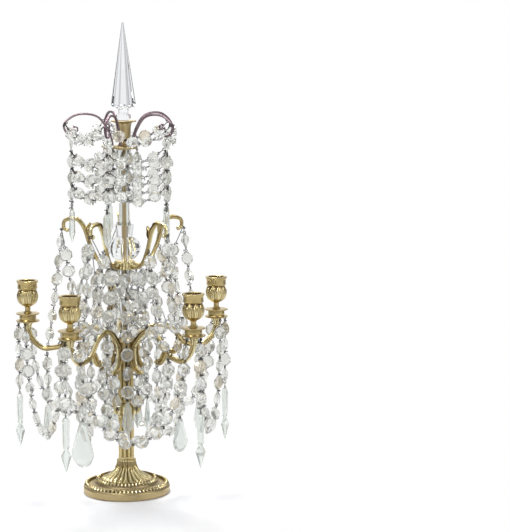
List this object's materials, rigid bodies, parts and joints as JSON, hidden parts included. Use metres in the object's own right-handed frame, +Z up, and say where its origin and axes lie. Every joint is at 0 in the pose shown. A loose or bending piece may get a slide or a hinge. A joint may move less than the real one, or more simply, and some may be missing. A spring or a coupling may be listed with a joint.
{
  "type": "girandole candle holder",
  "caption": "Branched table girandole: turned gilt stem, scrolled candle arms with drip pans and cups, bead-hung upper branches and crown, cut glass drops and a tall faceted finial.",
  "frame": {"origin": "on the stem axis, in the plane of the base underside", "axes": "+Z up along the stem to the finial; -Y towards the front, with one candle arm straight behind along +Y"},
  "size_m": [0.3124, 0.297, 0.66],
  "materials": {
    "brass": "gilt, worn, satin",
    "bronze": "dark patinated bronze",
    "glass": "clear cut glass",
    "wire": "dark drawn wire",
    "steel": "plain"
  },
  "bodies": {
    "stand": {"base_plate": "brass", "base_leaf_ring": "brass", "base_bead_ring": "brass", "base_washer": "steel", "base_nut": "steel", "tie_rod": "brass", "spreading_foot": "brass", "foot_collar": "brass", "lower_column": "brass", "knop": "brass", "upper_column": "brass", "arm_hub": "brass", "candle_arm_1": "brass", "candle_arm_2": "brass", "candle_arm_3": "brass", "candle_arm_4": "brass", "candle_arm_5": "brass", "drip_pans": "brass", "candle_cup_1": "brass", "candle_cup_2": "brass", "candle_cup_3": "brass", "candle_cup_4": "brass", "candle_cup_5": "brass", "glass_spindle": "glass", "branch_hub": "brass", "upper_branches": "brass", "glass_bowl": "glass", "glass_tube": "glass", "glass_bell": "glass", "crown_plate": "brass", "crown_neck": "brass", "crown_scrolls": "bronze", "finial_socket": "brass", "crown_rosettes": "glass", "crown_beads": "glass", "stem_beads": "glass", "arm_beads": "glass", "strand_wires": "wire", "drop_hooks": "wire"},
    "finial_spire": {"finial_spire": "glass"},
    "crown_drop_1": {"crown_drop_1": "glass"},
    "crown_drop_2": {"crown_drop_2": "glass"},
    "crown_drop_3": {"crown_drop_3": "glass"},
    "crown_drop_4": {"crown_drop_4": "glass"},
    "crown_drop_5": {"crown_drop_5": "glass"},
    "spear_drop_1": {"spear_drop_1": "glass"},
    "spear_drop_2": {"spear_drop_2": "glass"},
    "spear_drop_3": {"spear_drop_3": "glass"},
    "spear_drop_4": {"spear_drop_4": "glass"},
    "spear_drop_5": {"spear_drop_5": "glass"},
    "pear_drop_1": {"pear_drop_1": "glass"},
    "pear_drop_2": {"pear_drop_2": "glass"},
    "pear_drop_3": {"pear_drop_3": "glass"},
    "pear_drop_4": {"pear_drop_4": "glass"},
    "pear_drop_5": {"pear_drop_5": "glass"},
    "garland_1": {"garland_1": "glass"},
    "garland_2": {"garland_2": "glass"},
    "garland_3": {"garland_3": "glass"},
    "garland_4": {"garland_4": "glass"},
    "garland_5": {"garland_5": "glass"}
  },
  "joints": [
    {"name": "finial_lift", "type": "slide", "parent": "stand", "child": "finial_spire", "axis": [0, 0, 1], "range_m": [0, 0.02]},
    {"name": "crown_drop_1_swing", "type": "hinge", "parent": "stand", "child": "crown_drop_1", "pos_m": [0.06238, 0.03662, 0.40744], "axis": [-0.5299, 0.848, 0], "range_deg": [-8, 8]},
    {"name": "crown_drop_2_swing", "type": "hinge", "parent": "stand", "child": "crown_drop_2", "pos_m": [-0.01555, 0.07064, 0.40744], "axis": [-0.9703, -0.2419, 0], "range_deg": [-8, 8]},
    {"name": "crown_drop_3_swing", "type": "hinge", "parent": "stand", "child": "crown_drop_3", "pos_m": [-0.07199, 0.00704, 0.40744], "axis": [-0.0698, -0.9976, 0], "range_deg": [-8, 8]},
    {"name": "crown_drop_4_swing", "type": "hinge", "parent": "stand", "child": "crown_drop_4", "pos_m": [-0.02894, -0.06629, 0.40744], "axis": [0.9272, -0.3746, 0], "range_deg": [-8, 8]},
    {"name": "crown_drop_5_swing", "type": "hinge", "parent": "stand", "child": "crown_drop_5", "pos_m": [0.0541, -0.04801, 0.40744], "axis": [0.6428, 0.766, 0], "range_deg": [-8, 8]},
    {"name": "spear_drop_1_swing", "type": "hinge", "parent": "stand", "child": "spear_drop_1", "pos_m": [0.14694, 0.04774, 0.237], "axis": [-0.309, 0.9511, 0], "range_deg": [-12, 3]},
    {"name": "spear_drop_2_swing", "type": "hinge", "parent": "stand", "child": "spear_drop_2", "pos_m": [0, 0.1545, 0.237], "axis": [-1, 0, 0], "range_deg": [-12, 3]},
    {"name": "spear_drop_3_swing", "type": "hinge", "parent": "stand", "child": "spear_drop_3", "pos_m": [-0.14694, 0.04774, 0.237], "axis": [-0.309, -0.9511, 0], "range_deg": [-12, 3]},
    {"name": "spear_drop_4_swing", "type": "hinge", "parent": "stand", "child": "spear_drop_4", "pos_m": [-0.09081, -0.12499, 0.237], "axis": [0.809, -0.5878, 0], "range_deg": [-12, 3]},
    {"name": "spear_drop_5_swing", "type": "hinge", "parent": "stand", "child": "spear_drop_5", "pos_m": [0.09081, -0.12499, 0.237], "axis": [0.809, 0.5878, 0], "range_deg": [-12, 3]},
    {"name": "pear_drop_1_swing", "type": "hinge", "parent": "stand", "child": "pear_drop_1", "pos_m": [0.10794, 0.03507, 0.19518], "axis": [-0.309, 0.9511, 0], "range_deg": [-8, 8]},
    {"name": "pear_drop_2_swing", "type": "hinge", "parent": "stand", "child": "pear_drop_2", "pos_m": [0, 0.11349, 0.19518], "axis": [-1, 0, 0], "range_deg": [-8, 8]},
    {"name": "pear_drop_3_swing", "type": "hinge", "parent": "stand", "child": "pear_drop_3", "pos_m": [-0.10794, 0.03507, 0.19518], "axis": [-0.309, -0.9511, 0], "range_deg": [-8, 8]},
    {"name": "pear_drop_4_swing", "type": "hinge", "parent": "stand", "child": "pear_drop_4", "pos_m": [-0.06671, -0.09181, 0.19518], "axis": [0.809, -0.5878, 0], "range_deg": [-8, 8]},
    {"name": "pear_drop_5_swing", "type": "hinge", "parent": "stand", "child": "pear_drop_5", "pos_m": [0.06671, -0.09181, 0.19518], "axis": [0.809, 0.5878, 0], "range_deg": [-8, 8]},
    {"name": "garland_1_swing", "type": "hinge", "parent": "stand", "child": "garland_1", "pos_m": [0.07171, 0.09871, 0.237], "axis": [-0.809, 0.5878, 0], "range_deg": [-3, 6]},
    {"name": "garland_2_swing", "type": "hinge", "parent": "stand", "child": "garland_2", "pos_m": [-0.07171, 0.09871, 0.237], "axis": [-0.809, -0.5878, 0], "range_deg": [-3, 6]},
    {"name": "garland_3_swing", "type": "hinge", "parent": "stand", "child": "garland_3", "pos_m": [-0.11603, -0.0377, 0.237], "axis": [0.309, -0.9511, 0], "range_deg": [-3, 6]},
    {"name": "garland_4_swing", "type": "hinge", "parent": "stand", "child": "garland_4", "pos_m": [0, -0.12201, 0.237], "axis": [1, 0, 0], "range_deg": [-3, 6]},
    {"name": "garland_5_swing", "type": "hinge", "parent": "stand", "child": "garland_5", "pos_m": [0.11603, -0.0377, 0.237], "axis": [0.309, 0.9511, 0], "range_deg": [-3, 6]}
  ]
}
